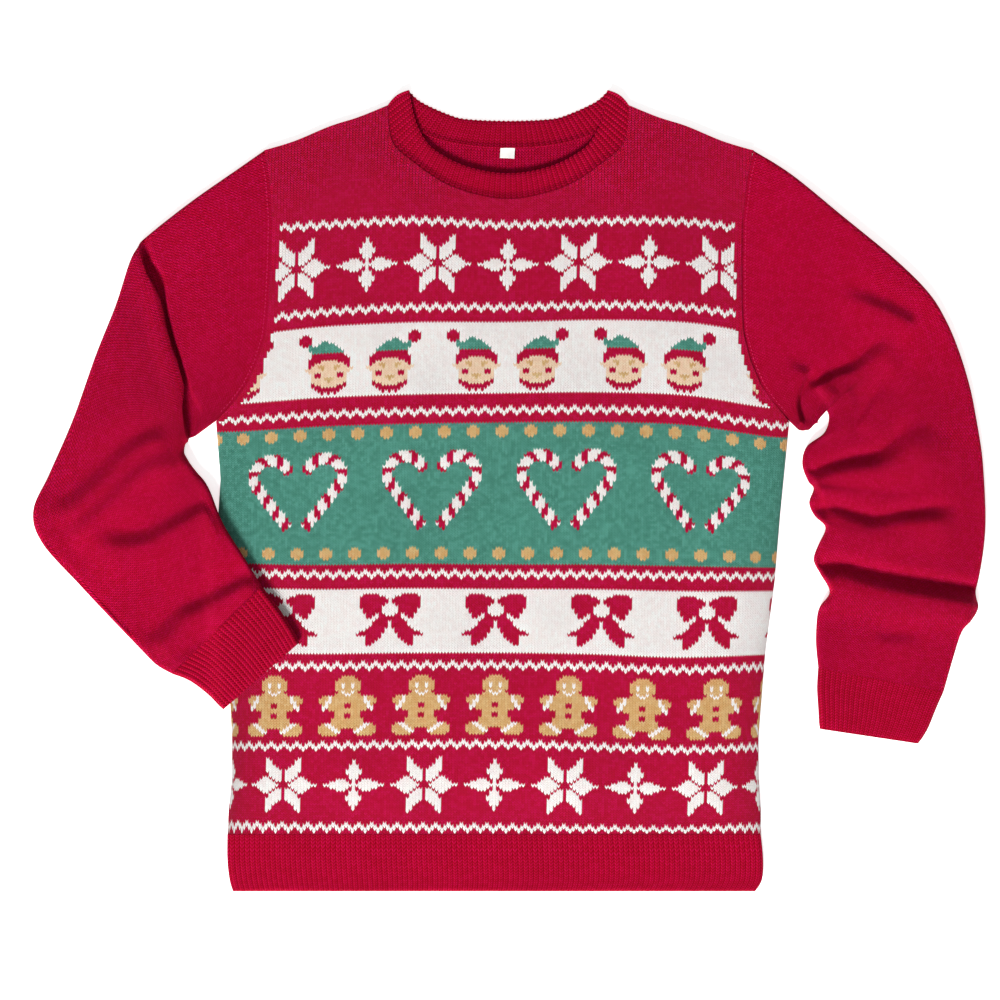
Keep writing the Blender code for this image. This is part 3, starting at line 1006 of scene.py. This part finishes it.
def ring_point(station, step, parts, sink):
    """A point of a flattened tube's section, sunk below its outer face, and its share of the height."""
    outer, inner = Vector(station[0:2]), Vector(station[2:4])
    width = (inner - outer).length
    radii = (station[5] / 2, station[6] / 2)
    part = 0
    while part < 3 and step >= parts[part]:
        step -= parts[part]
        part += 1
    share = step / parts[part]
    if part in (0, 2):  # over the top to the inner edge, or back along the bottom
        share = share if part == 0 else 1 - share
        place = radii[0] + (width - radii[0] - radii[1]) * share
        height = 2 * (radii[0] + (radii[1] - radii[0]) * share)
        z = height - sink if part == 0 else sink
        upper = 1.0 if part == 0 else 0.0
    else:  # round the folded edge
        radius = radii[1] if part == 1 else radii[0]
        turn = math.pi * share
        reach = (radius - sink) * math.sin(turn)
        place = width - radius + reach if part == 1 else radius - reach
        lift = (radius - sink) * math.cos(turn)
        z = radius + lift if part == 1 else radius - lift
        upper = z / (2 * radius)
    point = across_section(station, place / width)
    return Vector((point.x, point.y, z)), upper, place - width / 2


def clear_of_armhole(table):
    """The table with its first section moved off the seam."""
    first = table[0]
    across = Vector(first[2:4]) - Vector(first[0:2])
    onward = Vector((-across.y, across.x)).normalized()
    if onward.dot(Vector(table[1][0:2]) - Vector(first[0:2])) < 0:
        onward = -onward
    gap = onward * SLEEVE_SEAM_GAP
    return ((first[0] + gap.x, first[1] + gap.y, first[2] + gap.x, first[3] + gap.y, *first[4:]), *table[1:])


def even_places(table, step):
    """Places in a table of sections whose middles lie about a step apart, and their length from the start."""
    fine = [k / 24 for k in range(24 * (len(table) - 1) + 1)]
    middles = []
    for place in fine:
        station = smooth_row(table, place)
        middles.append(Vector((station[0] + station[2], station[1] + station[3])) / 2)
    lengths = [0.0]
    for start, end in zip(middles, middles[1:]):
        lengths.append(lengths[-1] + (end - start).length)
    count = round(lengths[-1] / step)
    places = []
    for k in range(count + 1):
        length = lengths[-1] * k / count
        places.append((read_table(list(zip(lengths, fine)), length), length))
    return places


def tuck_shape(line, x, y):
    """How far the cloth sinks towards the tuck's floor, from 0 to 1, how much the forearm's edge swells
    beside it and how far it leans out over it; the tuck gapes near both its ends."""
    _, aside, past, share = line.nearest(x, y)
    gape = TUCK_GAPE
    for wider, at in TUCK_OPENINGS:
        gape += wider * math.exp(-(((share - at) / 0.09) ** 2))
    if aside < 0:
        sunk = 1 - smoothstep(-aside / TUCK_WALL)
    else:
        sunk = 1 - smoothstep((aside - gape) / TUCK_SLOPE)
    end = (1 - smoothstep(past / 6)) * (0.3 + 0.7 * smoothstep(share * 10))
    swell = lean = 0.0
    if aside < 0:
        swell = TUCK_ROLL * math.exp(-(((aside + 5) / 9) ** 2)) * math.sin(math.pi * share)
        lean = TUCK_LIP * (1 - sunk) * math.exp(-(((aside + TUCK_WALL) / 7) ** 2)) * smoothstep(share * 3.5)
        lean *= smoothstep((1 - share) * 4)
    return sunk * end, swell * end, lean * end


def fold_lift(folds, x, y):
    """Height that a sleeve's slack folds add: a furrow, a steep side and a crest that runs out slowly."""
    lift = 0.0
    for (depth, steeps, crisp, furrow_run, crest_run, start_fade, end_fade, _), line in folds:
        _, left, past, share = line.nearest(x, y)
        if abs(left) > 3 * crest_run or past > 20:
            continue
        aside = -left
        steep = steeps[0] + (steeps[1] - steeps[0]) * share
        furrow, crest = -0.35 * depth, 0.65 * depth
        if aside < 0:
            shape = furrow * math.exp(-((aside / furrow_run) ** 2))
        elif aside < steep:
            rise = aside / steep
            shape = furrow + depth * ((1 - crisp) * smoothstep(rise) + crisp * (2 - rise) * rise)
        else:
            shape = crest * math.exp(-(((aside - steep) / crest_run) ** 2))
        length = len(line.points)
        ends = smoothstep((share * length + 1) / start_fade) * smoothstep((1 - share) * length / end_fade)
        lift += shape * ends * (1 - smoothstep(past / 20))
    return lift


def merge_ends(bm):
    """Joins the two ends of a sheet that has been rolled to a tube, and turns its faces outwards."""
    bmesh.ops.remove_doubles(bm, verts=bm.verts, dist=0.02)
    bm.normal_update()
    bmesh.ops.recalc_face_normals(bm, faces=bm.faces)
    if sum(face.normal.z * face.calc_center_median().z * face.calc_area() for face in bm.faces) < 0:
        bmesh.ops.reverse_faces(bm, faces=bm.faces)


def sleeve(name, node, table, folds, support, tuck):
    table = clear_of_armhole(table)
    places = even_places(table, SLEEVE_STEP)
    if tuck:
        for (place, length), (onward, further) in list(zip(places, places[1:])):
            if TUCK_PLACES[0] < place < TUCK_PLACES[1]:
                places.append(((place + onward) / 2, (length + further) / 2))
        places.sort()
    stations = [smooth_row(table, place) for place, _ in places]
    around, rows = sum(SLEEVE_PARTS), len(places) - 1
    lines = [(fold, Line(evened(smooth_path(fold[7])))) for fold in folds]
    tuck_line = Line(evened(smooth_path(tuck))) if tuck else None

    def section(u, v):
        step = round(u * around) % around
        return ring_point(stations[round(v * rows)], step, SLEEVE_PARTS, 0.0)

    def numbers(u, v):
        aside = section(u, v)[2]
        if round(u * around) >= around:
            aside -= 1
        return aside / WALE + 200, places[round(v * rows)][1] / COURSE

    def place(u, v):
        point, upper, _ = section(u, v)
        slack = SLACK * math.sin(point.x / 2.6 + point.y / 40) * math.sin(point.y / 33 + point.x / 50)
        point.z += (fold_lift(lines, point.x, point.y) + slack) * upper
        if tuck:
            sunk, swell, lean = tuck_shape(tuck_line, point.x, point.y)
            point.x += lean * upper
            point.z += swell * upper
            point.z -= max(point.z - TUCK_FLOOR, 0.0) * upper * sunk
        point.z += support(point.x, point.y)
        return point

    bm = cast_on(around, rows, numbers)
    place_points(bm, place)
    merge_ends(bm)
    return knitted_piece(name, bm, WALL, RED_KNIT, node)


bent = sleeve("sleeve_at_the_bent_arm", "sleeve_bent", BENT_SLEEVE, BENT_FOLDS, climb, TUCK)
straight = sleeve(
    "sleeve_at_the_straight_arm", "sleeve_straight", STRAIGHT_SLEEVE, STRAIGHT_FOLDS, crease_lift, None
)

# ---------------------------------------------------------------- Linking
# The sleeves are linked into the armholes with a chain stitch in the same red acrylic. It shows as a
# row of short loops on the sleeve's side of the seam, with a painted highlight: they are coloured lighter
# than the knitting because they stand up into the light.

CHAIN_STEP = 3.6
CHAIN_LOOP = (1.0, 0.45, 0.4)  # half length, half width and half height of a loop
CHAIN_ASIDE = 3.2
# a lighter red: painted highlight on the standing loops
CHAIN_HIGHLIGHT_RED = "C93060"


def linking_yarn():
    """Red acrylic thread, plied and tight, so it is smoother than the knitting; its lighter red is a painted
    highlight, as the loops stand up.
    """
    material, surface = new_material("red_acrylic_linking_thread")
    tree = material.node_tree
    place = add_node(tree, "TexCoord").outputs["Object"]
    # plies 0.3 mm apart, drawn at about 1 mm so that they show, in stripes from the knitting's red to the
    # painted highlight
    ply = add_node(tree, "TexWave", {"bands_direction": "DIAGONAL"}, Vector=place, Scale=320.0)
    light, dark = colour_of(CHAIN_HIGHLIGHT_RED), colour_of(RED)
    tint = add_node(tree, "Mix", {"data_type": "RGBA"}, Factor=ply.outputs["Fac"], _6=dark, _7=light)
    fill(surface, Base_Color=tint.outputs[2], Roughness=0.85, Specular_IOR_Level=0.1)
    return material


LINKING_YARN = linking_yarn()


def chain(name, path, cloth):
    """A row of loops along a path, each lying on a piece of cloth."""
    bm = bmesh.new()
    beads = max(2, round(sum((b - a).length for a, b in zip(path, path[1:])) / CHAIN_STEP))
    for k in range(beads):
        here, onward = along(path, k / beads), along(path, (k + 0.5) / beads)
        found, spot, _, _ = cloth.ray_cast((here.x * MM, here.y * MM, 0.1), (0, 0, -1))
        if not found or spot.z < 0.001:
            continue
        made = bmesh.ops.create_uvsphere(bm, u_segments=6, v_segments=4, radius=1.0)["verts"]
        angle = math.atan2(onward.y - here.y, onward.x - here.x)
        bmesh.ops.scale(bm, vec=[size * MM for size in CHAIN_LOOP], verts=made)
        bmesh.ops.rotate(bm, matrix=Matrix.Rotation(angle, 3, "Z"), verts=made)
        bmesh.ops.translate(bm, vec=spot, verts=made)
    piece = put_in_scene(name, bm, LINKING_YARN)
    piece.data.shade_smooth()
    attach(piece, "root")


for name, station, cloth in (
    ("linking_at_the_bent_arm", ARMHOLES[0], bent),
    ("linking_at_the_straight_arm", ARMHOLES[1], straight),
):
    outward = -1 if station is ARMHOLES[0] else 1
    seam = [across_section(station, 0.03 + 0.94 * k / 60) for k in range(61)]
    chain(name, [point + Vector((CHAIN_ASIDE * outward, 0)) for point in seam], cloth)

# ---------------------------------------------------------------- Cuffs
# Tubes of 1x1 rib, 50 mm long, linked to the sleeves, which they draw in. Their free ends are the
# start of the knitting, with a firm rolled edge.

BENT_CUFF = (
    (-295, -160, -216, -83, 0, 8.0, 8.0),
    (-280, -166, -203, -100, 0, 8.0, 8.0),
    (-265, -177, -192, -116, 0, 8.0, 8.0),
    (-250, -191, -183, -132, 0, 7.5, 7.5),
)
STRAIGHT_CUFF = (
    (380, -175, 270, -154, 0, 8.0, 8.0),
    (373, -191, 269, -172, 0, 8.0, 8.0),
    (366, -208, 270, -190, 0, 8.0, 8.0),
    (358, -221, 271, -208, 0, 7.5, 7.5),
)
CUFF_RIBS = (22, 2, 22, 2)  # cords over the top, round the inner edge, below, round the outer edge
CUFF_STEP = 2.4


def cuff(name, node, table, support):
    table = clear_of_armhole(table)
    places = even_places(table, CUFF_STEP)
    stations = [smooth_row(table, place) for place, _ in places]
    ribs, rows = sum(CUFF_RIBS), len(places) - 1
    around = ribs * RIB_PARTS

    def numbers(u, v):
        return u * ribs + 0.5, places[round(v * rows)][1] / RIB_COURSE

    def place(u, v):
        rib = (u * ribs) % ribs
        to_edge = (places[-1][1] - places[round(v * rows)][1]) / 4
        roll = 0.5 * smoothstep(1 - to_edge)
        point, _, _ = ring_point(stations[round(v * rows)], rib, CUFF_RIBS, rib_sink(rib) + roll)
        point.z += support(point.x, point.y)
        return point

    bm = cast_on(around, rows, numbers)
    place_points(bm, place)
    merge_ends(bm)
    return knitted_piece(name, bm, RIB_WALL, RED_RIB, node)


bent_end = cuff("cuff_at_the_bent_arm", "cuff_bent", BENT_CUFF, climb)
straight_end = cuff("cuff_at_the_straight_arm", "cuff_straight", STRAIGHT_CUFF, crease_lift)

# ---------------------------------------------------------------- Neckband
# A band of 1x1 rib, 23 mm wide, linked round the neck. Its front half lies on the ends of its back
# half, and its bound-off edge stands a little proud and is scalloped by the cords.

FRONT_NECK_EDGE = ((86.5, 350.4), (82, 328), (75.5, 312), (63.5, 298), (36, 284), (0, 278))
BACK_NECK_EDGE = ((86.5, 350.4), (76, 341), (52, 330), (36, 326), (0, 324.5))
BAND_SEAM_GAP = 0.15  # the front half starts this far from the panel; the back half lies on its panel
BAND_OVERLAP = 1.2
BAND_WIDTH = 23
BAND_WALL = 1.4
BAND_ROWS = 14
BAND_KNOB = 2.6  # how far the front half bulges over the shoulders at its ends


def neckband(name, node, seam_half, edge_half, start_gap, height, knob, ribs):
    """A half of the band; height(point, v) is its cords' height, v running from the seam to its free edge."""
    seam = smooth_path(mirrored(seam_half))
    edge = smooth_path(mirrored(edge_half))
    columns = ribs * RIB_PARTS
    ends = [(along(seam, k / columns), along(edge, k / columns)) for k in range(columns + 1)]

    def numbers(u, v):
        return u * ribs + 0.5, v * BAND_WIDTH / RIB_COURSE

    def place(u, v):
        start, end = ends[round(u * columns)]
        start = start + (end - start).normalized() * start_gap
        sunk = rib_sink(u * ribs)
        point = start.lerp(end, v * (1 - 0.03 * sunk / RIB_DEPTH * v**6))
        outward = Vector((end.y - start.y, start.x - end.x)).normalized() * (1 if u < 0.5 else -1)
        near_end = max(1 - min(u, 1 - u) / 0.035, 0.0)
        point -= outward * knob * near_end**2 * math.sin(math.pi * v)
        roll = 0.7 * smoothstep((v - 0.88) / 0.12) + 0.3 * smoothstep((0.12 - v) / 0.12)
        return Vector((point.x, point.y, height(point, v) - sunk - roll))

    bm = cast_on(columns, BAND_ROWS, numbers)
    place_points(bm, place)
    piece = knitted_piece(name, bm, BAND_WALL, RED_RIB, node)


def back_band_height(point, v):
    on_panel = smoothstep((97 - abs(point.x - NECK_CENTRE)) / 12) * (1 - smoothstep(v / 0.2))
    return 2.4 + 0.2 * v + 1.6 * on_panel


def front_band_height(point, v):
    return max(front_height(point.x, point.y) * (1 - v), 4.9 + 1.3 * smoothstep(v)) + 0.2


neckband("neckband_at_the_back", "neckband_back", BACK_NECK_SEAM, BACK_NECK_EDGE, -BAND_OVERLAP,
         back_band_height, 0, 46)
neckband("neckband_at_the_front", "neckband_front", FRONT_NECK_SEAM, FRONT_NECK_EDGE, BAND_SEAM_GAP,
         front_band_height, BAND_KNOB, 58)

# ---------------------------------------------------------------- Neck label
# A small white woven label of polyester satin, folded in at its ends and caught into the back neck
# seam. It is bare.

LABEL_CENTRE = (-1.8, 296.2)
LABEL_SIZE = (12.6, 10)
LABEL_WALL = 0.4
LABEL_TOP = 2.9


def woven_satin():
    """White polyester satin: a fine sheen, threads 0.25 mm apart, drawn at 1 mm so that they show."""
    material, surface = new_material("white_polyester_satin")
    tree = material.node_tree
    place = add_node(tree, "TexCoord").outputs["Object"]
    threads = add_node(tree, "TexWave", {"bands_direction": "Y"}, Vector=place, Scale=320.0).outputs["Fac"]
    bump = add_node(tree, "Bump", Height=threads, Distance=0.1 * MM)
    light, dark = colour_of("F6F5F2"), colour_of("E4E1DC")
    tint = add_node(tree, "Mix", {"data_type": "RGBA"}, Factor=threads, _6=dark, _7=light)
    fill(surface, Base_Color=tint.outputs[2], Normal=bump, Roughness=0.45)
    return material


def neck_label():
    def place(u, v):
        x = LABEL_CENTRE[0] + (u - 0.5) * LABEL_SIZE[0]
        y = LABEL_CENTRE[1] + (v - 0.5) * LABEL_SIZE[1]
        curl = 0.8 * (1 - v) ** 2 + 0.25 * math.cos(math.pi * (u - 0.5) * 2)
        return Vector((x + 0.06 * (y - LABEL_CENTRE[1]), y - 0.05 * (x - LABEL_CENTRE[0]), LABEL_TOP + curl))

    bm = cast_on(14, 10, lambda u, v: (u, v))
    place_points(bm, place)
    piece = knitted_piece("neck_label_of_satin", bm, LABEL_WALL, woven_satin(), "neck_label")


neck_label()
